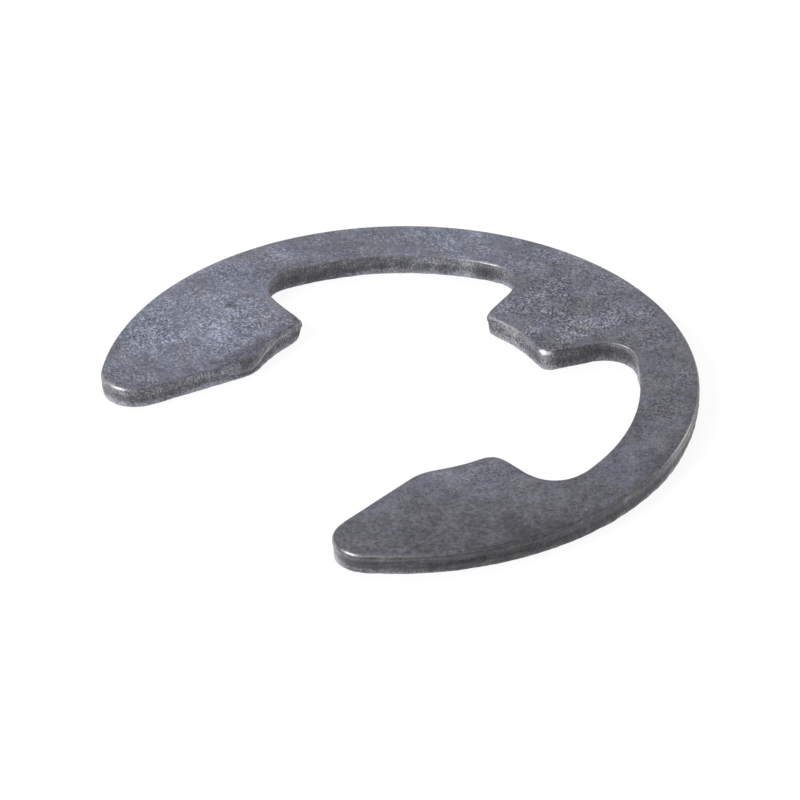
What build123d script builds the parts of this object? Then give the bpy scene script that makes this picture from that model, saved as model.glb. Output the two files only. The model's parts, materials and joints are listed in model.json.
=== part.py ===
from build123d import *
import os
from math import cos, hypot, radians, sin, sqrt, tan

# An E-shaped retaining ring: one stamped piece of spring steel that is pushed sideways into
# a shaft's groove and grips the groove floor with the ends of three prongs. The origin lies
# on the shaft's axis at the ring's lower face, +Z is that axis, and the mouth opens to -Y.

# ---- outline: mm and degrees, worked out for the right half and mirrored
OUTER_DIAMETER = 33.02        # round outside of the bow
SEAT_DIAMETER = 16.97         # free circle through the ends of the three prongs
BOW_WIDTH = 3.25              # spring section between the outside and the relief gaps
CENTRE_PRONG_WIDTH = 5.16     # across the end of the centre prong, on the seat circle
CENTRE_PRONG_FLARE = 20.1     # each flank of the centre prong leans out toward the bow
SHOULDER_DROP = 0.06          # side prong's upper corner, below the shaft's centre line
SHOULDER_RISE = 2.9           # upper flank of a side prong, rising toward the bow
THROAT_ANGLE = 30.0           # side prongs grip this far below the shaft's centre line
MOUTH_FLARE = 10.2            # each flank of the mouth leans outward below the throat

# ---- rounds in the outline
CENTRE_PRONG_CORNER = 0.45
CENTRE_PRONG_ROOT = 1.78
SHOULDER_ROOT = 1.90
SHOULDER_CORNER = 0.40
THROAT_CORNER = 1.95
NOSE_ROUND = 1.92             # end of a side prong, from the mouth's flank into the outside

# ---- stamped edge, from the upper face down
THICKNESS = 1.27
ROLL_RADIUS = 0.20            # upper edge, drawn down as the punch entered
BURNISHED_LAND = 0.15         # straight wall, wiped smooth by the die
TORN_INSET = 0.12             # below it the steel tore, and leans in by this at the lower face
LOWER_EDGE_BREAK = 0.06       # lower edge, knocked back by tumbling

OUTER_RADIUS = OUTER_DIAMETER / 2
SEAT_RADIUS = SEAT_DIAMETER / 2
RELIEF_RADIUS = OUTER_RADIUS - BOW_WIDTH
TORN_HEIGHT = THICKNESS - ROLL_RADIUS - BURNISHED_LAND
BEYOND = 2 * OUTER_DIAMETER   # cutting shapes run this far past the ring


def polygon(*points):
    return make_face(Polyline(*points, close=True))


def relief_gap():
    """Right relief gap: inside the bow, between the centre prong and the side prong."""
    prong_x = CENTRE_PRONG_WIDTH / 2
    prong_y = sqrt(SEAT_RADIUS**2 - prong_x**2)
    flare = tan(radians(CENTRE_PRONG_FLARE))
    rise = tan(radians(SHOULDER_RISE))
    between_prongs = polygon(
        (prong_x - flare * prong_y, 0),
        (prong_x + flare * (BEYOND - prong_y), BEYOND),
        (BEYOND, BEYOND),
        (BEYOND, -SHOULDER_DROP + rise * (BEYOND - SEAT_RADIUS)),
        (0, -SHOULDER_DROP - rise * SEAT_RADIUS),
    )
    return Circle(RELIEF_RADIUS).face() & between_prongs


def mouth_half():
    """Right half of the mouth, from the shaft's axis down past the noses."""
    throat_x = SEAT_RADIUS * cos(radians(THROAT_ANGLE))
    throat_y = -SEAT_RADIUS * sin(radians(THROAT_ANGLE))
    flare = tan(radians(MOUTH_FLARE))
    return polygon(
        (0, 0),
        (throat_x + flare * throat_y, 0),
        (throat_x + flare * (throat_y + BEYOND), -BEYOND),
        (0, -BEYOND),
    )


def sharp_outline():
    right_gaps = relief_gap() + mouth_half()
    bow = Circle(OUTER_RADIUS).face() - Circle(SEAT_RADIUS).face()
    return bow - right_gaps - mirror(right_gaps, Plane.YZ)


def on_circle(outline, radius):
    """Corners of the outline that lie on one circle about the shaft's axis, highest first."""
    corners = [v for v in outline.vertices() if abs(hypot(v.X, v.Y) - radius) < 0.001]
    return sorted(corners, key=lambda v: -v.Y)


def rounded_outline():
    """The outline with its corners rounded, each corner together with its mirror image."""
    outline = sharp_outline()
    seat = on_circle(outline, SEAT_RADIUS)
    relief = on_circle(outline, RELIEF_RADIUS)
    noses = on_circle(outline, OUTER_RADIUS)
    for pair, radius in (
        (noses, NOSE_ROUND),
        (seat[4:6], THROAT_CORNER),
        (seat[2:4], SHOULDER_CORNER),
        (relief[2:4], SHOULDER_ROOT),
        (relief[0:2], CENTRE_PRONG_ROOT),
        (seat[0:2], CENTRE_PRONG_CORNER),
    ):
        places = [Vector(v.X, v.Y) for v in pair]
        here = [outline.vertices().sort_by_distance(place)[0] for place in places]
        outline = outline.fillet_2d(radius, here)
    return outline


def edges_at(solid, height):
    """Edges that lie flat at one height."""
    level = [e for e in solid.edges() if e.bounding_box().size.Z < 0.001]
    return [e for e in level if abs(e.center().Z - height) < 0.001]


def torn_wall(blank):
    """Lets the wall lean in below the burnished land, where the steel tore through."""
    lower_face = blank.faces().sort_by(Axis.Z)[0]
    return chamfer(edges_at(blank, 0), TORN_INSET, TORN_HEIGHT, reference=lower_face)


def retaining_ring():
    ring = torn_wall(extrude(rounded_outline(), amount=THICKNESS))
    ring = fillet(edges_at(ring, THICKNESS), ROLL_RADIUS)
    return chamfer(edges_at(ring, 0), LOWER_EDGE_BREAK)


os.makedirs("parts", exist_ok=True)
export_step(retaining_ring(), "parts/retaining_ring.step")
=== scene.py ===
import json
from math import atan2, ceil, cos, exp, pi, radians, sin, sqrt, tau

import bpy
import numpy as np
from mathutils import Euler, Matrix, Vector, kdtree, noise
from mathutils.geometry import delaunay_2d_cdt


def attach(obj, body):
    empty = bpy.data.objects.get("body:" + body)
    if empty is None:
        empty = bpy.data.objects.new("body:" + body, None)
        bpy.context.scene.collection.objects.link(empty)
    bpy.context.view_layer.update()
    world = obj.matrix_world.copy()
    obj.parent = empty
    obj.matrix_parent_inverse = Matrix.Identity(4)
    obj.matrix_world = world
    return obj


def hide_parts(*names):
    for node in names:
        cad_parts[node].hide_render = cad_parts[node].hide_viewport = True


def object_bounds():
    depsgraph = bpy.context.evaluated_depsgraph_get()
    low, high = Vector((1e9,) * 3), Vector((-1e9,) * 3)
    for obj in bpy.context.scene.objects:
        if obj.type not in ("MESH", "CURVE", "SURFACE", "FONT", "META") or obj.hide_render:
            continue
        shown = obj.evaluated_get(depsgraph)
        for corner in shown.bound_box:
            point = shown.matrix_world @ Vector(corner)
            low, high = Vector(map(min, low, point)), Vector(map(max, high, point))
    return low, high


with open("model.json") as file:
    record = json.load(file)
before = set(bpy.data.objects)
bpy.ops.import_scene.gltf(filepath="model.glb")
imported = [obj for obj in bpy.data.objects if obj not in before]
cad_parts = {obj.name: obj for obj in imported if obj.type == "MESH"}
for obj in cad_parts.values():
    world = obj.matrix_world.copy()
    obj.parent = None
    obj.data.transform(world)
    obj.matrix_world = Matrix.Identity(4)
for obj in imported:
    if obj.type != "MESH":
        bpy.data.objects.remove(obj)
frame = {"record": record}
CAD_LOW, CAD_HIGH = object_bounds()

# The ring is worked out in millimetres, and its mesh is turned into metres when it is made.
# A patch, in the lists below, is its centre (x, y), its reach and its strength.
MM = 0.001

# ---- The ring's outline
OUTER_RADIUS = (CAD_HIGH.x - CAD_LOW.x) / 2 / MM
THICKNESS = (CAD_HIGH.z - CAD_LOW.z) / MM
SEAT_RADIUS = frame["record"]["mounts"][0]["dims"]["r_mm"]
BOW_WIDTH = 3.25              # spring section between the outside and the relief gaps
RELIEF_RADIUS = OUTER_RADIUS - BOW_WIDTH
CENTRE_PRONG_WIDTH = 5.16     # across its end, on the seat circle
CENTRE_PRONG_FLARE = radians(20.1)
SHOULDER_DROP = 0.06          # side prong's upper corner, below the shaft's centre line
SHOULDER_RISE = radians(2.9)
THROAT_ANGLE = radians(30.0)  # side prongs grip this far below the shaft's centre line
MOUTH_FLARE = radians(10.2)
CENTRE_PRONG_CORNERS = (0.60, 0.45)   # right and left
CENTRE_PRONG_ROOT = 1.78
SHOULDER_ROOT = 1.90
SHOULDER_CORNERS = (0.68, 0.42)       # right, which is rounder, and left
THROAT_CORNER = 1.95
NOSE_ROUND = 1.92
# the left shoulder's corner stands out, and the steel is cut back at three roots
UNEVEN_OUTLINE = [((-8.5, -0.3), 0.9, 0.09), ((5.0, 12.4), 1.5, -0.12), ((-6.7, 11.5), 1.2, -0.06),
                  ((-13.1, 1.7), 1.5, -0.04)]
OUTLINE_STEP = 0.085          # most between its points
LEAST_ARC_STEPS = 4
LEAST_STRETCH_STEPS = 2

# ---- The stamped edge, from the upper face down
CORNER_SPREAD = 0.35          # a corner's effect on the edge fades over this length
ROOT_SPREAD = 0.3
FULL_CORNER = 1.2             # bend, in 1/mm, at which an outward corner has its full effect
FULL_ROOT = 0.5
ROLL_RADIUS = 0.18            # upper edge, drawn down as the punch entered
CORNER_ROLL = 0.15            # the steel is drawn down this much further at an outward corner
HOLLOW_ROLL = 0.12            # and this much less in the roots
UNEVEN_ROLL = 0.015
LEAST_ROLL = 0.04
MOST_ROLL_SHARE = 0.7         # of the outline's own radius at a corner
MOST_ROLL_SPREAD = 0.1
LEAST_BEND = 0.1              # a straight run counts as bent by this, in 1/mm
# the upper edge is drawn down more or less at these places
MORE_ROLL = [((4.2, 11.4), 1.5, -0.06), ((10.7, -12.0), 1.3, 0.06), ((-9.9, -12.0), 1.3, 0.05),
             ((2.4, 8.6), 0.9, 0.03), ((5.2, 12.5), 1.0, 0.07)]
LAND_HEIGHT = 0.20            # straight wall, wiped smooth by the die
CORNER_LAND_LOSS = 0.75       # share of it that an outward corner loses
LAND_WANDER = 0.07            # the tear starts higher or lower than that along the edge
LEAST_LAND = 0.03
DEEPER_LAND = [((-7.8, -4.6), 1.6, 0.50)]
BRIGHT_LIPS = [((-8.1, -3.0), 2.0, 0.7)]       # where the land ends: worn steel with a painted highlight
TORN_INSET = 0.07             # the torn wall leans in by this at the lower face, mostly low down
# and by more or less than that at these places
LEANING_PLACES = [((-12.5, 1.2), 2.2, 0.06), ((12.0, -11.3), 2.2, 0.04), ((13.2, 9.8), 2.0, 0.06),
                  ((-8.2, -3.5), 3.0, -0.05), ((0.5, 8.5), 2.5, -0.05), ((-10.6, -12.2), 1.5, -0.05),
                  ((9.8, -12.2), 1.0, -0.05), ((-8.6, -0.2), 0.7, 0.14), ((5.0, 12.4), 1.5, -0.06),
                  ((2.7, 8.2), 0.8, -0.05)]
EVEN_LEAN = 0.4               # share of the lean that grows evenly down the wall
CORNER_TORN = 0.08            # the wall leans in by this more at an outward corner
TEAR_STEP = 0.015             # the tear starts this far behind the land
TORN_RELIEF = 0.04            # bumps and pits of the torn wall
RELIEF_RISE = 2.5             # they reach their full depth at 1 / this of its height
TORN_FOOT_SPREAD = 0.12       # the wall's foot is evened out over this length
EDGE_BREAK = 0.07             # lower edge, knocked back by tumbling
UNEVEN_BREAK = 0.3            # share of it
ROLL_ROWS = 8
TORN_ROWS = 11
BREAK_ROWS = 3

# ---- How bare the steel is along the edge, from 0 to 1, partly worn steel and partly a painted highlight where the lamps' highlights fall, and how torn the wall looks and where painted shade darkens it
EDGE_RUB = 0.15
CORNER_RUB = 0.15             # more than that at an outward corner
RUB_UNEVENNESS = 0.4
RUB_ANGLE = 0.75              # place on the roll that is rubbed most, in radians above its foot; it is where the lamp's highlight falls, so the bright steel there is partly a painted highlight
RUB_SPREAD = 0.38
LAND_RUB = 0.5                # on the land, as a share of the roll's
TEAR_RUB = 0.12               # where the tear starts
BREAK_RUB = 0.25              # on the lower edge
# and more or less than that at these places, most of them where highlights fall: partly worn steel,
# partly a painted highlight
RUBBED_AND_SHEEN_PLACES = [((2.5, 8.3), 0.5, 0.8), ((3.5, 9.6), 1.2, -0.5), ((-0.6, 8.5), 2.2, 0.8),
                 ((-10.1, -12.1), 0.9, 1.0), ((10.9, -12.0), 0.40, 0.6), ((-6.5, 11.3), 1.6, 0.8),
                 ((4.8, 12.3), 1.3, 1.3), ((7.2, 11.1), 1.5, 0.7), ((13.9, 8.8), 2.2, 0.9),
                 ((13.4, -10.2), 2.3, 0.60)]
TORN_START, TORN_RISE = 0.2, 2.2      # how torn the wall looks from where the tear starts
BREAK_TORN_LOSS = 0.5         # how much less torn the lower edge looks
DARKEST_PART = 0.42           # painted shade on the torn wall is darkest at this part of its height, in the crease under the land
DARK_SPREAD = 0.28
PAINTED_FOOT_LIGHT = 1.4               # painted light makes it paler than elsewhere at its foot
TEAR_DARKNESS = 0.16          # how much the painted shade darkens the wall colour there

# ---- Faces
FACE_STEP = 0.19              # between the points of their grid
UPPER_CLEARANCE = 0.32        # between the grid and the outline
LOWER_CLEARANCE = 0.36
FACE_DROP = 0.016             # the upper face sinks by this toward its rolled edge
FACE_DROP_REACH = 0.80        # over this width
FACE_RELIEF = 0.004           # slight waviness of the faces
FACE_WAVE = 3.1               # its size along the face
FLAT_BORDER = 0.3             # the lower face has no waviness this near the outline
FLAT_BORDER_FADE = 0.5
KNOCKED_CORNER = (2.5, 8.2, 1.25)     # a corner of the centre prong, knocked twice
KNOCK_AZIMUTHS = (radians(14), radians(34))   # the ways the two flats face
KNOCK_ELEVATION = radians(42)
KNOCK_DEPTH = 0.045
KNOCK_REACH = 0.8
KNOCK_UNEVENNESS = 0.015

# ---- Places of the coat, and of painted light and shade on it
# patches of the faces made paler or darker: partly the coat's tone, partly painted light and painted
# shade
LIGHT_AND_TONE_PATCHES = [((-10.5, -4.8), 4.2, 0.155), ((-14.5, -7.0), 2.5, 0.07), ((-9.5, 13.0), 3.2, 0.12),
                ((-12.3, 5.2), 2.2, -0.08), ((17.0, -3.5), 4.5, -0.17), ((13.2, -9.0), 3.5, -0.08),
                ((15.0, -7.0), 1.8, -0.05), ((10.3, -7.2), 1.8, -0.04), ((8.5, -4.5), 2.4, 0.06),
                ((11.0, -0.5), 2.6, 0.07), ((12.6, 4.0), 2.8, 0.11), ((16.3, 3.8), 1.2, -0.06),
                ((7.5, 14.0), 2.5, -0.03), ((2.4, 8.9), 1.2, -0.08), ((-0.6, 12.4), 1.6, -0.05),
                ((-2.4, 9.8), 1.2, 0.05), ((2.4, 12.4), 1.0, 0.06), ((-10.0, -12.5), 1.3, -0.10),
                ((10.3, -12.3), 1.5, -0.05), ((14.2, -1.0), 1.8, 0.05), ((12.6, -6.2), 2.0, -0.035),
                ((-12.45, -2.15), 0.30, -0.50)]   # this last one is a small dark spot
PAINTED_LIGHT_TO_THE_LEFT = 0.0060    # per millimetre; painted light, making the faces lighter toward -x
# patches of the walls made paler or darker: partly tone, partly painted light on walls facing the
# lamps and painted shade on walls turned away
WALL_LIGHT_AND_TONE_PATCHES = [((-12.8, 3.0), 3.2, -0.12), ((-7.8, -4.5), 1.4, -0.16), ((-8.6, -9.9), 1.0, -0.10),
                ((-9.0, -8.5), 4.0, 0.05), ((-7.6, 11.0), 0.5, 0.22), ((-6.9, 11.5), 0.7, -0.20),
                ((-5.6, 12.1), 0.9, 0.16), ((-0.3, 8.5), 2.2, 0.22), ((2.6, 8.3), 0.6, 0.35),
                ((3.4, 10.4), 1.8, -0.12), ((7.2, 11.2), 1.4, 0.45), ((14.6, 7.6), 3.0, 0.15),
                ((16.4, -1.0), 6.5, 0.11), ((12.5, -11.0), 3.5, 0.08), ((-10.4, -12.2), 1.3, 0.22),
                ((9.7, -12.1), 1.0, 0.45)]
EDGE_STAIN = 0.05             # a dark stain along every edge
# and more or less than that at these places: partly stains, partly painted shade on edges that face
# +x and -y, and painted light, as negative amounts, on edges that face -x and +y
STAINED_AND_SHADED_EDGES = [((-8.0, -5.5), 4.5, 0.70), ((-8.4, -1.2), 1.6, 0.6), ((-12.5, 3.5), 2.5, 0.4),
                 ((-9.8, -11.7), 1.5, 0.5), ((-8.5, 9.5), 3.5, 0.3), ((17.0, -3.0), 8.0, 0.50),
                 ((15.5, 8.0), 4.0, 0.50), ((2.6, 8.7), 2.2, 0.6), ((11.5, -11.8), 2.0, 0.2),
                 ((-14.0, 13.0), 4.0, -0.8), ((-2.0, 18.5), 3.5, -0.7), ((-18.0, -2.0), 5.0, -0.5)]
# a, b and c: the grain is crispest along the line where a x + b y + c is 0
CRISP_LINE = (0.79, -0.61, 6.0)
SOFTER_BESIDE_IT = 0.0355     # per millimetre
LEAST_CRISP = 0.22
CRISPER_PLACES = [((0.0, 11.0), 3.5, 0.24), ((-10.5, -6.0), 5.0, -0.06), ((-12.5, 5.5), 3.5, -0.14),
                  ((-13.0, -2.4), 2.4, -0.14), ((9.8, -1.7), 2.2, 0.40), ((12.2, -8.0), 4.2, -0.45),
                  ((6.5, 14.5), 3.5, -0.22)]

# ---- Patterns of the coat: sizes in millimetres, weights, and the ranges that are spread out
CLOUD, CLOUD_WEIGHT = 3.6, 0.4
MOTTLE, MOTTLE_WEIGHT = 1.4, 0.53
PALE_MOTTLE_WEIGHT = 0.7      # more than that where the faces are painted paler
GRAIN, GRAIN_WEIGHT = 0.13, 1.2
GRAIN_RANGE = (0.3, 0.7)
CRYSTAL, CRYSTAL_WEIGHT = 0.10, 0.62
SOFT_GRAIN, SOFT_GRAIN_WEIGHT = 0.23, 0.8     # of the softer grain where it is less crisp
LIVELY, LIVELY_RANGE = 1.7, (0.34, 0.66)
LIVELINESS = (0.75, 1.25)     # factor of the grain, in the least and in the most lively places
HUE, HUE_WEIGHT = 1.6, 0.7
TINT_RANGE = (-0.22, 0.26)
BORDER_WIDTH = 0.85           # of the calmer border along an edge, which carries the stain and the painted edge shade and light
BORDER_WANDER, BORDER_WAVE = 1.6, 1.4         # it wanders by this, in waves of this size
CALM_GRAIN = 0.75             # share of the grain that the border keeps
# how much the stain and the painted edge shade darken the coat
STAIN_AND_SHADE_DARKNESS = 0.26
LIGHT_MIDDLE = 0.30
LIGHT_RANGE = (0.8, 0.2)      # factor and offset, last of all
LINE, LINE_WEIGHT = 0.11, 0.6         # fine upright lines of the walls
LINE_STRETCH = (1, 1, 0.35)   # places are multiplied by this, so below 1 is longer
PIT, PIT_WEIGHT = 0.09, 1.5
PIT_STRETCH = (1, 1, 0.8)
BLOT, BLOT_WEIGHT = 0.9, 0.8
STREAK, STREAK_WEIGHT = 1.0, 0.9      # level streaks of the walls where the grain is soft
STREAK_STRETCH = (0.45, 0.45, 5)
WALL_CRISPNESS = (0.60, 0.42)         # factor and offset for the lines and pits
LAND_LIGHT, TORN_LIGHT = 0.46, 0.53
BROWN_RANGE = (-0.32, -0.12)  # a wall this dark is brown, and this dark it is not
WALL_LEVEL = (0.35, 0.85)     # a surface this level still counts as wall, and this level as face
CHIP, CHIP_RANGE = 0.32, (0.36, 0.60)
CHIP_BARENESS = (0.15, 1.0)   # between the chips and in them

# ---- Colours, as sRGB from 0 to 255, and tints, as factors
COAT_TONES = [(0.0, (32, 32, 37)), (0.2, (57, 58, 66)), (0.6, (106, 107, 118)),
              (1.0, (168, 169, 181))]
WALL_TONES = [(0.0, (43, 41, 44)), (0.5, (96, 95, 100)), (1.0, (184, 185, 194))]
# bare steel: on the edges it is partly worn steel and partly a painted highlight
BARE_STEEL = (178, 176, 174)
BARE_SHARE = 0.85             # of it in the colour where the steel is fully bare
WARM_TINT = (1.03, 1.01, 0.95, 1)
COLD_TINT = (0.95, 1.0, 1.08, 1)
# tint of the stain and of the painted edge shade
STAIN_AND_SHADE_TINT = (1.03, 0.93, 0.98, 1)
BROWN_TINT = (1.05, 0.97, 0.96, 1)    # of the darkest walls
WALL_TINTING = 0.6

# ---- Gloss
CRISP_ROUGHNESS = (0.42, 0.60)        # by the grain
SOFT_ROUGHNESS = 0.51
BORDER_ROUGHNESS = 0.42
LAND_ROUGHNESS, TORN_ROUGHNESS, BARE_ROUGHNESS = 0.42, 0.62, 0.33
FACE_METAL, LAND_METAL, TORN_METAL = 0.55, 0.5, 0.3
BUMP_STRENGTH = 0.6
BUMP_HEIGHT = 0.018

# ---- Camera
CAMERA_AZIMUTH = radians(52.344)
CAMERA_ELEVATION = radians(33.486)
CAMERA_ROLL = radians(-1.027)
CAMERA_DISTANCE = 0.4368      # metres
SENSOR_WIDTH = 36             # millimetres, as the lens
CAMERA_LENS = 357.66
CAMERA_CLIP = (0.01, 10)
AIM_RIGHT = 0.063 * MM        # the camera looks this far beside the origin
AIM_UP = 0.241 * MM

# ---- Floor and light, in metres and watts
FLOOR_HALF = 0.6
FLOOR_GAP = 0.005 * MM        # below the ring
FLOOR_TONE = 0.8
FLOOR_WHITE = 1.06            # its brightness where it is seen directly
FLOOR_WHITE_SHARE = 0.85      # the rest is the lit floor, with the shadow
SKY_LIGHT = 0.35              # the world's strength as a light; it is 1 where seen directly
# name, azimuth and elevation in degrees, distance, size and power
SOFTBOXES = [("left_front", -8, 38, 0.32, (0.14, 0.15), 0.65),
             ("right_back", 178, 22, 0.36, (0.24, 0.12), 0.22),
             ("overhead", -118, 62, 0.36, (0.20, 0.20), 0.35)]


# ---- Outline: runs with the steel on their left, for the right half, from the centre prong's end
class Straight:
    def __init__(self, point, direction):
        self.point = np.array(point, float)
        self.direction = np.array(direction, float) / np.hypot(*direction)

    def moved(self, left):
        side = np.array((-self.direction[1], self.direction[0]))
        return Straight(self.point + side * left, self.direction)

    def foot(self, point):
        return self.point + self.direction * ((point - self.point) @ self.direction)


class Round:
    """A run on a circle about the shaft's axis: turn 1 is anticlockwise, -1 clockwise."""

    def __init__(self, radius, turn):
        self.radius = radius
        self.turn = turn

    def moved(self, left):
        return Round(self.radius - self.turn * left, self.turn)

    def foot(self, point):
        return point * self.radius / np.hypot(*point)


def meeting(run_a, run_b, near):
    """The point nearest to near where a straight and a round run meet."""
    line, circle = (run_a, run_b) if isinstance(run_a, Straight) else (run_b, run_a)
    middle = -line.point @ line.direction
    reach = sqrt(middle**2 - line.point @ line.point + circle.radius**2)
    ends = [line.point + line.direction * (middle + side * reach) for side in (-1, 1)]
    return min(ends, key=lambda end: np.hypot(*(end - near)))


def arc(centre, start, end, turn):
    """Points from start toward end round centre, end left out, with outward normals and bend."""
    first = atan2(*(start - centre)[::-1])
    sweep = turn * ((turn * (atan2(*(end - centre)[::-1]) - first)) % tau)
    radius = np.hypot(*(start - centre))
    count = max(LEAST_ARC_STEPS, ceil(abs(sweep) * radius / OUTLINE_STEP))
    angles = first + sweep * np.arange(count) / count
    radial = np.stack([np.cos(angles), np.sin(angles)], 1)
    return centre + radial * radius, radial * turn, np.full(count, turn / radius)


def stretch(start, end):
    """Points on a straight run from start toward end, end left out."""
    length = np.hypot(*(end - start))
    count = max(LEAST_STRETCH_STEPS, ceil(length / OUTLINE_STEP))
    along = (end - start) / length
    points = start + np.outer(np.arange(count) / count, end - start)
    return points, np.tile((along[1], -along[0]), (count, 1)), np.zeros(count)


def runs_and_corners():
    """The right half's runs in turn, and the place near each of their meetings."""
    prong_x = CENTRE_PRONG_WIDTH / 2
    prong_end = np.array((prong_x, sqrt(SEAT_RADIUS**2 - prong_x**2)))
    shoulder_end = np.array((SEAT_RADIUS, -SHOULDER_DROP))
    throat = SEAT_RADIUS * np.array((cos(THROAT_ANGLE), -sin(THROAT_ANGLE)))
    seat = Round(SEAT_RADIUS, -1)
    runs = [seat,
            Straight(prong_end, (sin(CENTRE_PRONG_FLARE), cos(CENTRE_PRONG_FLARE))),
            Round(RELIEF_RADIUS, -1),
            Straight(shoulder_end, (-cos(SHOULDER_RISE), -sin(SHOULDER_RISE))),
            seat,
            Straight(throat, (sin(MOUTH_FLARE), -cos(MOUTH_FLARE))),
            Round(OUTER_RADIUS, 1)]
    corners = [prong_end, np.array((prong_x, RELIEF_RADIUS)), np.array((RELIEF_RADIUS, 0.0)),
               shoulder_end, throat, np.array((SEAT_RADIUS, -OUTER_RADIUS))]
    return runs, corners


def half_outline(prong_corner, shoulder_corner):
    """Points, outward normals and bend of the right half, with its corners rounded."""
    runs, corners = runs_and_corners()
    # outward corners turn left, with their centre in the steel; roots turn right
    rounds = [prong_corner, -CENTRE_PRONG_ROOT, -SHOULDER_ROOT, shoulder_corner,
              THROAT_CORNER, NOSE_ROUND]
    here = np.array((0.0, SEAT_RADIUS))
    parts = []
    for run, following, size, corner in zip(runs, runs[1:], rounds, corners):
        corner = meeting(run, following, corner)
        centre = meeting(run.moved(size), following.moved(size), corner)
        before, after = run.foot(centre), following.foot(centre)
        if isinstance(run, Round):
            parts.append(arc(np.zeros(2), here, before, run.turn))
        else:
            parts.append(stretch(here, before))
        parts.append(arc(centre, before, after, 1 if size > 0 else -1))
        here = after
    parts.append(arc(np.zeros(2), here, np.array((0.0, OUTER_RADIUS)), 1))
    return [np.concatenate(column) for column in zip(*parts)]


def whole_outline():
    """Points, outward normals and bend (1/mm, outward corners positive) right round the ring."""
    right, left = [half_outline(*sizes) for sizes in zip(CENTRE_PRONG_CORNERS, SHOULDER_CORNERS)]
    mirror = np.array((-1.0, 1.0))
    top = np.array([(0.0, OUTER_RADIUS)])
    points = np.vstack([right[0], top, left[0][:0:-1] * mirror])
    normals = np.vstack([right[1], (0.0, 1.0), left[1][:0:-1] * mirror])
    points += normals * patches(*points.T, UNEVEN_OUTLINE)[:, None]
    return points, normals, np.concatenate([right[2], right[2][-1:], left[2][:0:-1]])


def smoothed(values, points, width):
    """Values round the closed outline, averaged over about width millimetres each way."""
    ahead = np.roll(points, -1, 0) - points
    step = np.hypot(*ahead.T)
    result = values.copy()
    for _ in range(int((width / step.mean()) ** 2)):
        result = (np.roll(result, 1) + 2 * result + np.roll(result, -1)) / 4
    return result


# ---- Chance
def rough(x, y, z, scale, octaves=2):
    """Noise of about -1 to 1 with features of about scale millimetres."""
    place = Vector((x, y, z)) / scale
    return noise.fractal(place, 0.9, 2.1, octaves, noise_basis="PERLIN_ORIGINAL")


def noise_round(points, scale, seed, octaves=2):
    return np.array([rough(x, y, seed, scale, octaves) for x, y in points])


def patches(x, y, places):
    """The sum of soft round patches at each point."""
    total = np.zeros(len(x))
    for (centre_x, centre_y), reach, strength in places:
        total += strength * np.exp(-((x - centre_x) ** 2 + (y - centre_y) ** 2) / reach**2)
    return total


# ---- Section of the stamped edge
def torn_relief(x, y, z):
    """Bumps and pits of the torn wall, about -1 to 1; they are longer up the wall than along it."""
    bumps = rough(x, y, z * 0.6, scale=0.45, octaves=3)
    pits = rough(x, y, z * 0.9 + 9, scale=0.17, octaves=2)
    return 0.75 * bumps + 0.3 * pits


def torn_shade(part):
    """Painted shade of the torn wall at a part of its height, darkest in the crease under the land,
    and below 0 at its foot, where it is painted light.
    """
    return exp(-((part - DARKEST_PART) / DARK_SPREAD) ** 2) - PAINTED_FOOT_LIGHT * part**4


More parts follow.
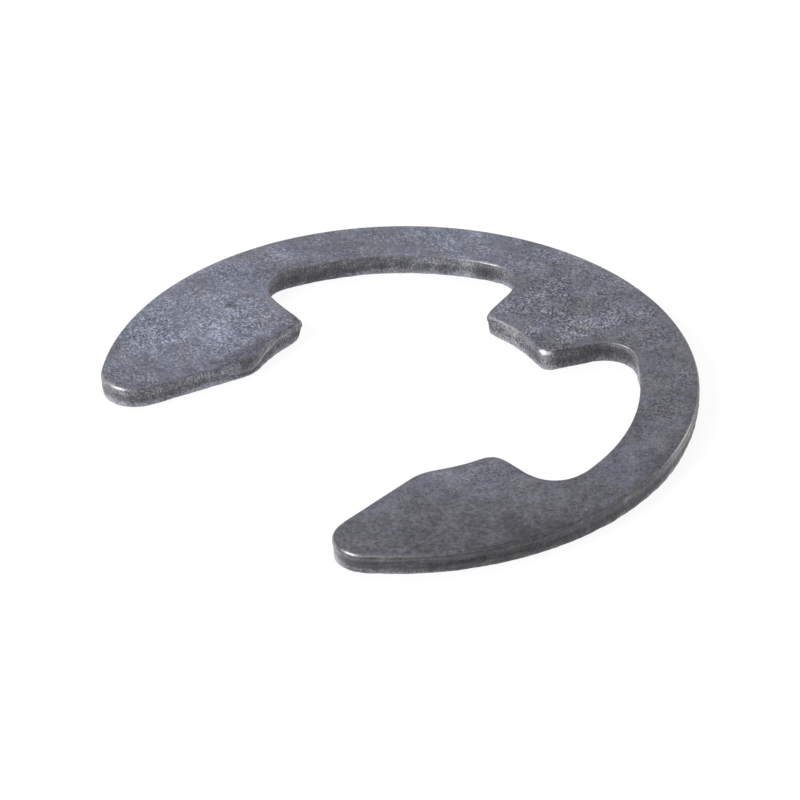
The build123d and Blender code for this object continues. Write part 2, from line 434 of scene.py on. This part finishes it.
class Edge:
    """The stamped edge: its sizes at each point of the outline, and its rows of vertices from the
    upper face to the lower one. A row has its vertices and their marks, in turn: how bare the steel
    is, partly worn and partly a painted highlight; how torn it is, 1 on the torn wall; and the
    painted shade of the torn wall, below 0 at its foot, where painted light makes it paler."""

    def __init__(self, points, normals, bend):
        self.points = points
        self.normals = normals
        self.corner = self.share(np.maximum(bend, 0), CORNER_SPREAD, FULL_CORNER)
        self.roll = self.roll_radius(bend)
        self.tear_start = THICKNESS - self.roll - self.land_height()
        uneven = noise_round(points, scale=1.2, seed=11.0)
        self.low_break = EDGE_BREAK * (1 + UNEVEN_BREAK * uneven)
        # how bare the steel is: partly worn, partly a painted highlight
        self.bare = self.bareness_and_sheen()
        self.rows = []

    def share(self, bend, spread, full):
        """From 0 on straight runs to 1 where the bend has its full effect."""
        return np.clip(smoothed(bend, self.points, spread) / full, 0, 1)

    def roll_radius(self, bend):
        uneven = noise_round(self.points, scale=2.3, seed=7.0)
        roll = ROLL_RADIUS + CORNER_ROLL * self.corner + UNEVEN_ROLL * uneven
        roll -= HOLLOW_ROLL * self.share(np.maximum(-bend, 0), ROOT_SPREAD, FULL_ROOT)
        roll += patches(*self.points.T, MORE_ROLL)
        bent = smoothed(np.maximum(bend, LEAST_BEND), self.points, MOST_ROLL_SPREAD)
        return np.clip(roll, LEAST_ROLL, MOST_ROLL_SHARE / bent)

    def land_height(self):
        wander = noise_round(self.points, scale=0.9, seed=3.0, octaves=3)
        land = LAND_HEIGHT * (1 - CORNER_LAND_LOSS * self.corner) + LAND_WANDER * wander
        land += patches(*self.points.T, DEEPER_LAND)
        return np.maximum(land, LEAST_LAND)

    def bareness_and_sheen(self):
        patchy = noise_round(self.points, scale=3.0, seed=21.0, octaves=3)
        patchy = np.clip(0.5 + 0.9 * patchy, 0, 1)
        # worn steel, also put where the highlights fall as a painted highlight
        bare = EDGE_RUB + patches(*self.points.T, RUBBED_AND_SHEEN_PLACES)
        bare = bare * (1 - RUB_UNEVENNESS + RUB_UNEVENNESS * patchy)
        return np.clip(bare + CORNER_RUB * self.corner, 0, 1)

    def add_row(self, inset, height, rub=0.0, torn=0.0, painted_tear_shade=0.0):
        count = len(self.points)
        place = self.points - self.normals * np.reshape(inset, (-1, 1))
        verts = np.column_stack([place, np.broadcast_to(height, count)])
        self.rows.append((verts, *[np.broadcast_to(mark, count) for mark in (rub, torn, painted_tear_shade)]))

    def add_roll(self):
        for angle in np.linspace(pi / 2, 0, ROLL_ROWS + 1):
            inset = self.roll * (1 - cos(angle))
            height = THICKNESS - FACE_DROP * sin(angle) - self.roll * (1 - sin(angle))
            # most bare where the lamp's highlight falls on the roll: partly a painted highlight
            rub = exp(-((angle - RUB_ANGLE) / RUB_SPREAD) ** 2)
            self.add_row(inset, height, rub * self.bare)

    def add_land(self):
        middle = (THICKNESS - self.roll + self.tear_start) / 2
        # a bright lip where the land ends: partly worn steel, partly a painted highlight
        lip = patches(*self.points.T, BRIGHT_LIPS)
        self.add_row(0.0, middle, LAND_RUB * self.bare)
        self.add_row(0.0, self.tear_start, TEAR_RUB * self.bare + lip, torn=0.1)

    def add_torn_wall(self):
        """Adds its rows, and returns how far in the last one lies."""
        leaning = TORN_INSET + patches(*self.points.T, LEANING_PLACES)
        for step in range(1, TORN_ROWS + 1):
            part = step / TORN_ROWS
            height = self.tear_start + (self.low_break - self.tear_start) * part
            lean = leaning * (EVEN_LEAN * part + (1 - EVEN_LEAN) * part**4)
            lean += CORNER_TORN * self.corner * (1 - (1 - part) ** 3)
            relief = np.array([torn_relief(x, y, z) for (x, y), z in zip(self.points, height)])
            relief = TORN_RELIEF * relief * min(1.0, RELIEF_RISE * part)
            inset = np.maximum(lean + TEAR_STEP + relief, 0.0)
            torn = min(1.0, TORN_START + TORN_RISE * part)
            # painted shade in the crease and painted light at the foot
            self.add_row(inset, height, torn=torn, painted_tear_shade=torn_shade(part))
        return inset

    def add_break(self, foot):
        foot = smoothed(foot, self.points, TORN_FOOT_SPREAD)
        for step in range(1, BREAK_ROWS + 1):
            angle = pi / 2 * step / BREAK_ROWS
            inset = foot + self.low_break * (1 - cos(angle))
            height = self.low_break * (1 - sin(angle))
            torn = 1.0 - sin(angle) * BREAK_TORN_LOSS
            # the lower edge is painted paler, as painted light
            self.add_row(inset, height, BREAK_RUB * sin(angle), torn, -PAINTED_FOOT_LIGHT)

    def all_rows(self):
        self.add_roll()
        self.add_land()
        self.add_break(self.add_torn_wall())
        return self.rows


# ---- Faces
def outline_tree(points):
    tree = kdtree.KDTree(len(points))
    for index, (x, y) in enumerate(points):
        tree.insert((x, y, 0), index)
    tree.balance()
    return tree


def inner_points(tree, normals, clearance):
    """Points of a staggered grid inside the outline, with their distance from it, which is more
    than clearance."""
    found = []
    squeeze = sqrt(0.75)   # rows of even-sided triangles lie this much closer than their points
    rows = int(OUTER_RADIUS / (FACE_STEP * squeeze))
    columns = int(OUTER_RADIUS / FACE_STEP)
    for j in range(-rows, rows + 1):
        for i in range(-columns, columns + 1):
            x = (i + (j % 2) / 2) * FACE_STEP
            y = j * FACE_STEP * squeeze
            nearest, index, distance = tree.find((x, y, 0))
            outward = (x - nearest.x) * normals[index][0] + (y - nearest.y) * normals[index][1]
            if outward < 0 and distance > clearance:
                found.append((x, y, distance))
    return found


def filled(loop, inside):
    """Triangles over the area inside a loop, through the points inside it, as corner indices."""
    flat = [Vector((x, y)) for x, y, *_ in list(loop) + inside]
    only_inside = 1
    result = delaunay_2d_cdt(flat, [], [list(range(len(loop)))], only_inside, 1e-7)
    source = [ids[0] for ids in result[3]]
    return [[source[corner] for corner in face] for face in result[2]]


def face_heights(x, y, distance, up):
    """Heights inside a face: slightly wavy, and on the upper one sunk toward its rolled edge."""
    wave = np.array([rough(a, b, 1.0 if up else 5.0, FACE_WAVE) for a, b in zip(x, y)])
    sink = FACE_RELIEF * (1 + np.clip(wave, -1, 1)) / 2
    if up:
        near = np.clip(1 - (distance - ROLL_RADIUS) / FACE_DROP_REACH, 0, 1)
        return THICKNESS - sink * (1 - near) - FACE_DROP * near**2
    return sink * np.clip((distance - FLAT_BORDER) / FLAT_BORDER_FADE, 0, 1)


def wall_faces(count, levels):
    """Four-sided faces between the rows of a closed wall."""
    faces = []
    for level in range(levels - 1):
        upper, lower = level * count, (level + 1) * count
        faces += [(upper + i, lower + i, lower + (i + 1) % count, upper + (i + 1) % count)
                  for i in range(count)]
    return faces


def knocked_flat(verts):
    """One corner pressed back to two small, slightly uneven flats."""
    near = np.flatnonzero(np.linalg.norm(verts - KNOCKED_CORNER, axis=1) < KNOCK_REACH)
    uneven = np.array([KNOCK_UNEVENNESS * rough(x, y, z, scale=0.2) for x, y, z in verts[near]])
    for azimuth in KNOCK_AZIMUTHS:
        facing = np.array(direction(azimuth, KNOCK_ELEVATION))
        height = verts[near] @ facing
        above = np.maximum(height - height.max() + KNOCK_DEPTH + uneven, 0)
        verts[near] -= np.outer(above, facing)


def ring_surface():
    """Vertices, faces, and the marks that the edge gives the vertices."""
    points, normals, bend = whole_outline()
    rows = Edge(points, normals, bend).all_rows()
    verts, rub, torn, painted_tear_shade = [np.concatenate(part) for part in zip(*rows)]
    rim = np.zeros(len(verts))
    faces = wall_faces(len(points), len(rows))
    tree = outline_tree(points)
    last = len(rows) - 1
    for level, clearance, up in ((0, UPPER_CLEARANCE, True), (last, LOWER_CLEARANCE, False)):
        inside = inner_points(tree, normals, clearance)
        number = [*range(level * len(points), (level + 1) * len(points)),
                  *range(len(verts), len(verts) + len(inside))]
        turn = 1 if up else -1
        faces += [[number[corner] for corner in face[::turn]]
                  for face in filled(rows[level][0], inside)]
        x, y, distance = np.array(inside).T
        height = face_heights(x, y, distance, up)
        verts = np.vstack([verts, np.column_stack([x, y, height])])
        rim = np.append(rim, distance - ROLL_RADIUS)
    flat = np.zeros(len(verts) - len(rub))
    rub, torn, painted_tear_shade = [np.append(mark, flat) for mark in (rub, torn, painted_tear_shade)]
    knocked_flat(verts)
    verts = np.clip(verts, np.array(CAD_LOW) / MM, np.array(CAD_HIGH) / MM)
    return verts, faces, {"rub": rub, "torn": torn, "rim": rim, "painted_tear_shade": painted_tear_shade}


def coat_marks(verts, painted_tear_shade):
    """How much paler or darker the faces and walls are, partly by tone and partly by painted light
    and shade; how stained, with painted shade and light along the edges; and how crisp the coat is
    at each vertex.
    """
    x, y, _ = verts.T
    beside = np.abs(CRISP_LINE[0] * x + CRISP_LINE[1] * y + CRISP_LINE[2])
    crisp = np.clip(1 - SOFTER_BESIDE_IT * beside, LEAST_CRISP, 1)
    return {
        "pale": patches(x, y, LIGHT_AND_TONE_PATCHES) - PAINTED_LIGHT_TO_THE_LEFT * x,
        # painted light and shade on the walls, and the painted shade of the tear
        "wall_pale": patches(x, y, WALL_LIGHT_AND_TONE_PATCHES) - TEAR_DARKNESS * painted_tear_shade,
        "stain_and_shade": EDGE_STAIN + patches(x, y, STAINED_AND_SHADED_EDGES),
        "crisp": crisp * (1 + patches(x, y, CRISPER_PLACES)),
    }


def ring_mesh():
    verts, faces, marks = ring_surface()
    mesh = bpy.data.meshes.new("stamped_ring")
    mesh.from_pydata((verts * MM).tolist(), [], faces)
    mesh.polygons.foreach_set("use_smooth", np.ones(len(mesh.polygons), bool))
    painted_tear_shade = marks.pop("painted_tear_shade")
    marks.update(coat_marks(verts, painted_tear_shade))
    for name, values in marks.items():
        mesh.attributes.new(name, "FLOAT", "POINT").data.foreach_set("value", values)
    mesh.update()
    return mesh


# ---- Materials
class Nodes:
    """Short calls for building a node tree."""

    def __init__(self, tree):
        self.tree = tree
        tree.nodes.clear()

    def add(self, kind, inputs=(), **settings):
        node = self.tree.nodes.new(kind)
        for name, value in settings.items():
            setattr(node, name, value)
        for name, value in dict(inputs).items():
            self.feed(node.inputs[name], value)
        return node

    def feed(self, socket, value):
        if isinstance(value, bpy.types.NodeSocket):
            self.tree.links.new(value, socket)
        else:
            socket.default_value = value

    def math(self, operation, *values):
        node = self.add("ShaderNodeMath", operation=operation)
        for socket, value in zip(node.inputs, values):
            self.feed(socket, value)
        return node.outputs[0]

    def ramp(self, value, low, high, to_low=0.0, to_high=1.0):
        node = self.add("ShaderNodeMapRange", {
            "Value": value, "From Min": low, "From Max": high,
            "To Min": to_low, "To Max": to_high}, interpolation_type="SMOOTHSTEP")
        return node.outputs["Result"]

    def noise(self, place, size, detail=2.0, roughness=0.5):
        """Noise with features of about size, in place's unit."""
        node = self.add("ShaderNodeTexNoise", {
            "Vector": place, "Scale": 1 / size, "Detail": detail, "Roughness": roughness})
        return node.outputs["Fac"]

    def mix(self, factor, first, second, blend="MIX"):
        """A mix of colours."""
        node = self.add("ShaderNodeMix", data_type="RGBA", blend_type=blend)
        for index, value in ((0, factor), (6, first), (7, second)):
            self.feed(node.inputs[index], value)
        return node.outputs[2]

    def blend(self, factor, first, second):
        """A mix of numbers."""
        node = self.add("ShaderNodeMix", data_type="FLOAT")
        for index, value in ((0, factor), (2, first), (3, second)):
            self.feed(node.inputs[index], value)
        return node.outputs[0]

    def total(self, *parts):
        """The sum of each noise less its middle, which is 0.5, times its weight."""
        result = 0.0
        for value, weight in parts:
            centred = self.math("SUBTRACT", value, 0.5)
            result = self.math("MULTIPLY_ADD", centred, weight, result)
        return result

    def shade(self, value, tones):
        """A colour from a value, by tones at rising values."""
        node = self.add("ShaderNodeValToRGB", {"Fac": value})
        elements = node.color_ramp.elements
        while len(elements) < len(tones):
            elements.new(1.0)
        for element, (position, colour) in zip(elements, tones):
            element.position = position
            element.color = tone(*colour)
        return node.outputs["Color"]

    def attribute(self, name):
        return self.add("ShaderNodeAttribute", attribute_name=name).outputs["Fac"]

    def mapped(self, vector, scale=(1, 1, 1), offset=(0, 0, 0)):
        """A place stretched, or moved so that a pattern doesn't follow another of its size."""
        node = self.add("ShaderNodeMapping", {
            "Vector": vector, "Scale": scale, "Location": offset})
        return node.outputs["Vector"]


def tone(red, green, blue):
    """An sRGB colour, 0 to 255, as a linear one."""
    parts = [value / 255 for value in (red, green, blue)]
    linear = [p / 12.92 if p <= 0.04045 else ((p + 0.055) / 1.055) ** 2.4 for p in parts]
    return (*linear, 1.0)


class Steel(Nodes):
    """The ring's coated steel. Its patterns are laid out in millimetres in the ring's frame."""

    def __init__(self, tree):
        super().__init__(tree)
        self.here = self.add("ShaderNodeTexCoord").outputs["Object"]
        self.place = self.stretched(1, 1, 1)
        self.rub, self.torn = self.attribute("rub"), self.attribute("torn")
        self.pale, self.crisp = self.attribute("pale"), self.attribute("crisp")
        self.softness = self.math("SUBTRACT", 1.0, self.crisp)
        self.grain = self.noise(self.place, GRAIN, roughness=0.7)
        self.border = self.rolled_border()
        calmer = self.ramp(self.border, 0.0, 1.0, 1.0, CALM_GRAIN)
        self.calm = self.math("MULTIPLY", calmer, self.crisp)
        # stain along the edges, with painted shade and painted light
        self.stain_and_shade = self.math("MULTIPLY", self.border, self.attribute("stain_and_shade"))
        self.tint = self.warm_or_cold()
        self.lines = self.noise(self.stretched(*LINE_STRETCH), LINE, 3.0, 0.65)
        self.pits = self.noise(self.stretched(*PIT_STRETCH), PIT, roughness=0.7)
        self.on_wall = self.wallness()
        self.wear_and_sheen = self.bare_steel_and_sheen()

    def stretched(self, x, y, z):
        """Places in millimetres, times these factors."""
        return self.mapped(self.here, (x / MM, y / MM, z / MM))

    def rolled_border(self):
        """1 along the edges of the faces, 0 inside them, with an uneven border between."""
        wander = self.noise(self.place, BORDER_WAVE, 3.0, 0.6)
        wander = self.math("MULTIPLY_ADD", wander, BORDER_WANDER, -BORDER_WANDER / 2)
        inside = self.math("ADD", self.attribute("rim"), wander)
        return self.ramp(inside, 0.0, BORDER_WIDTH, 1.0, 0.0)

    def warm_or_cold(self):
        """A tint, colder where the coat is paler, by its tone and by painted light."""
        hue = self.noise(self.mapped(self.place, offset=(8, 2, 0)), HUE)
        colder = self.math("ADD", self.pale, self.total((hue, HUE_WEIGHT)))
        return self.mix(self.ramp(colder, *TINT_RANGE), WARM_TINT, COLD_TINT)

    def wallness(self):
        """1 on the walls and 0 on the faces, by how far the surface is from level."""
        normal = self.add("ShaderNodeNewGeometry").outputs["Normal"]
        level = self.add("ShaderNodeSeparateXYZ", {"Vector": normal}).outputs["Z"]
        return self.ramp(self.math("ABSOLUTE", level), *WALL_LEVEL, 1.0, 0.0)

    def bare_steel_and_sheen(self):
        """How bare the steel is: in chips where it is little rubbed, all over where it is much.
        It is partly worn steel and partly a painted highlight.
        """
        chips = self.ramp(self.noise(self.place, CHIP, 4.0, 0.7), *CHIP_RANGE, *CHIP_BARENESS)
        return self.math("MULTIPLY", self.rub, self.blend(self.rub, chips, 1.0))

    def fine_pattern(self):
        """Grain and single crystals, livelier in some places than in others."""
        cells = self.add("ShaderNodeTexVoronoi", {"Vector": self.place, "Scale": 1 / CRYSTAL})
        cells = self.add("ShaderNodeSeparateColor", {"Color": cells.outputs["Color"]}).outputs[0]
        fine = self.total((self.grain, GRAIN_WEIGHT), (cells, CRYSTAL_WEIGHT))
        lively = self.noise(self.mapped(self.place, offset=(5, 5, 0)), LIVELY)
        return self.math("MULTIPLY", fine, self.ramp(lively, *LIVELY_RANGE, *LIVELINESS))

    def broad_pattern(self):
        """Clouds, mottling and softer grain, darker in the stains and the painted edge shade."""
        cloud = self.noise(self.mapped(self.place, offset=(3.7, 1.9, 0)), CLOUD, 3.0, 0.6)
        mottle = self.noise(self.place, MOTTLE, 3.0, 0.55)
        mottle_weight = self.math("MULTIPLY_ADD", self.pale, PALE_MOTTLE_WEIGHT, MOTTLE_WEIGHT)
        broad = self.total((cloud, CLOUD_WEIGHT), (mottle, mottle_weight))
        soft = self.total((self.noise(self.place, SOFT_GRAIN, 1.0), SOFT_GRAIN_WEIGHT))
        broad = self.math("ADD", broad, self.math("MULTIPLY", self.softness, soft))
        darker = self.math("MULTIPLY_ADD", self.stain_and_shade, -STAIN_AND_SHADE_DARKNESS, LIGHT_MIDDLE)
        return self.math("ADD", broad, darker)

    def face_colour(self):
        # the coat's tone with painted light and shade
        broad = self.math("ADD", self.broad_pattern(), self.pale)
        light = self.math("MULTIPLY_ADD", self.fine_pattern(), self.calm, broad)
        light = self.math("MULTIPLY_ADD", light, *LIGHT_RANGE)
        coat = self.mix(1.0, self.shade(light, COAT_TONES), self.tint, "MULTIPLY")
        return self.mix(self.stain_and_shade, coat, STAIN_AND_SHADE_TINT, "MULTIPLY")

    def wall_pattern(self):
        """Fine upright lines and pits, blots, and level streaks where the grain is soft."""
        blots = self.noise(self.mapped(self.place, offset=(0, 5, 3)), BLOT, 4.0, 0.65)
        blots = self.total((blots, BLOT_WEIGHT))
        fine = self.total((self.lines, LINE_WEIGHT), (self.pits, PIT_WEIGHT))
        crisper = self.math("MULTIPLY_ADD", self.crisp, *WALL_CRISPNESS)
        uneven = self.math("MULTIPLY_ADD", fine, crisper, blots)
        streaks = self.noise(self.stretched(*STREAK_STRETCH), STREAK, roughness=0.6)
        streaks = self.total((streaks, STREAK_WEIGHT))
        return self.math("MULTIPLY_ADD", self.softness, streaks, uneven)

    def wall_colour(self):
        wall_pale = self.attribute("wall_pale")
        light = self.math("ADD", self.wall_pattern(), self.blend(self.torn, LAND_LIGHT, TORN_LIGHT))
        # the walls' tone with painted light and shade
        light = self.math("ADD", light, self.math("ADD", self.pale, wall_pale))
        darkest = self.ramp(wall_pale, *BROWN_RANGE, 1.0, 0.0)
        wall = self.mix(darkest, self.shade(light, WALL_TONES), BROWN_TINT, "MULTIPLY")
        return self.mix(WALL_TINTING, wall, self.tint, "MULTIPLY")

    def colour(self):
        coat = self.mix(self.on_wall, self.face_colour(), self.wall_colour())
        # bright bare steel: partly worn, partly a painted highlight
        return self.mix(self.math("MULTIPLY", self.wear_and_sheen, BARE_SHARE), coat, tone(*BARE_STEEL))

    def metal(self):
        coat = self.blend(self.on_wall, FACE_METAL, self.blend(self.torn, LAND_METAL, TORN_METAL))
        return self.blend(self.wear_and_sheen, coat, 1.0)

    def roughness(self):
        grainy = self.ramp(self.grain, *GRAIN_RANGE, *CRISP_ROUGHNESS)
        face = self.blend(self.crisp, SOFT_ROUGHNESS, grainy)
        face = self.blend(self.border, face, BORDER_ROUGHNESS)
        wall = self.blend(self.torn, LAND_ROUGHNESS, TORN_ROUGHNESS)
        return self.blend(self.wear_and_sheen, self.blend(self.on_wall, face, wall), BARE_ROUGHNESS)

    def bumps(self):
        face = self.math("MULTIPLY", self.grain, self.calm)
        height = self.blend(self.on_wall, face, self.blend(self.torn, self.lines, self.pits))
        bump = self.add("ShaderNodeBump", {
            "Strength": BUMP_STRENGTH, "Distance": BUMP_HEIGHT * MM, "Height": height})
        return bump.outputs["Normal"]


def new_material(name, kind=Nodes):
    material = bpy.data.materials.new(name)
    material.use_nodes = True
    return material, kind(material.node_tree)


def phosphated_steel():
    material, n = new_material("phosphated_steel", Steel)
    shader = n.add("ShaderNodeBsdfPrincipled", {
        "Base Color": n.colour(), "Metallic": n.metal(), "Roughness": n.roughness(),
        "Normal": n.bumps()})
    n.add("ShaderNodeOutputMaterial", {"Surface": shader.outputs["BSDF"]})
    return material


def seen_directly(n):
    """1 for rays from the camera, glossy or transmission rays, which show the background."""
    path = n.add("ShaderNodeLightPath").outputs
    either = n.math("MAXIMUM", path["Is Camera Ray"], path["Is Glossy Ray"])
    return n.math("MAXIMUM", either, path["Is Transmission Ray"])


def floor_material():
    """Matt and pale; seen directly it is lifted to white, and keeps the object's shadow."""
    material, n = new_material("pale_floor")
    matt = n.add("ShaderNodeBsdfDiffuse", {"Color": (FLOOR_TONE, FLOOR_TONE, FLOOR_TONE, 1)})
    white = n.add("ShaderNodeEmission", {"Color": (1, 1, 1, 1), "Strength": FLOOR_WHITE})
    share = n.math("MULTIPLY", seen_directly(n), FLOOR_WHITE_SHARE)
    mixed = n.add("ShaderNodeMixShader", {"Fac": share})
    n.feed(mixed.inputs[1], matt.outputs[0])
    n.feed(mixed.inputs[2], white.outputs[0])
    n.add("ShaderNodeOutputMaterial", {"Surface": mixed.outputs[0]})
    return material


# ---- Stage
def placed(name, data):
    """A new object in the scene."""
    thing = bpy.data.objects.new(name, data)
    bpy.context.scene.collection.objects.link(thing)
    return thing


def make_floor():
    mesh = bpy.data.meshes.new("floor")
    corners = [(x * FLOOR_HALF, y * FLOOR_HALF, -FLOOR_GAP)
               for x, y in ((-1, -1), (1, -1), (1, 1), (-1, 1))]
    mesh.from_pydata(corners, [], [(0, 1, 2, 3)])
    mesh.materials.append(floor_material())
    floor = placed("floor", mesh)


def make_world():
    world = bpy.data.worlds.new("studio")
    bpy.context.scene.world = world
    world.use_nodes = True
    n = Nodes(world.node_tree)
    strength = n.math("MULTIPLY_ADD", seen_directly(n), 1 - SKY_LIGHT, SKY_LIGHT)
    sky = n.add("ShaderNodeBackground", {"Color": (1, 1, 1, 1), "Strength": strength})
    n.add("ShaderNodeOutputWorld", {"Surface": sky.outputs[0]})


def direction(azimuth, elevation):
    """From the ring toward a place round it; azimuth 0 is at -Y, 90 degrees at +X."""
    return Vector((sin(azimuth) * cos(elevation), -cos(azimuth) * cos(elevation), sin(elevation)))


def softbox(name, azimuth, elevation, distance, size, power):
    light = bpy.data.lights.new(name, "AREA")
    light.shape = "RECTANGLE"
    light.size, light.size_y = size
    light.energy = power
    lamp = placed(name, light)
    toward = direction(radians(azimuth), radians(elevation))
    lamp.location = toward * distance
    lamp.rotation_euler = toward.to_track_quat("Z", "Y").to_euler()


def make_camera():
    camera = placed("camera", bpy.data.cameras.new("camera"))
    camera.data.sensor_width = SENSOR_WIDTH
    camera.data.lens = CAMERA_LENS
    camera.data.clip_start, camera.data.clip_end = CAMERA_CLIP
    turn = Euler((pi / 2 - CAMERA_ELEVATION, 0, CAMERA_AZIMUTH)).to_matrix()
    turn = turn @ Matrix.Rotation(CAMERA_ROLL, 3, "Z")
    place = turn @ Vector((AIM_RIGHT, AIM_UP, CAMERA_DISTANCE))
    camera.matrix_world = Matrix.Translation(place) @ turn.to_4x4()
    bpy.context.scene.camera = camera


def make_ring():
    ring = placed("stamped_ring", ring_mesh())
    ring.data.materials.append(phosphated_steel())
    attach(ring, "root")
    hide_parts("retaining_ring")


bpy.context.scene.view_settings.view_transform = "Standard"
make_floor()
make_world()
for lamp_settings in SOFTBOXES:
    softbox(*lamp_settings)
make_camera()
make_ring()
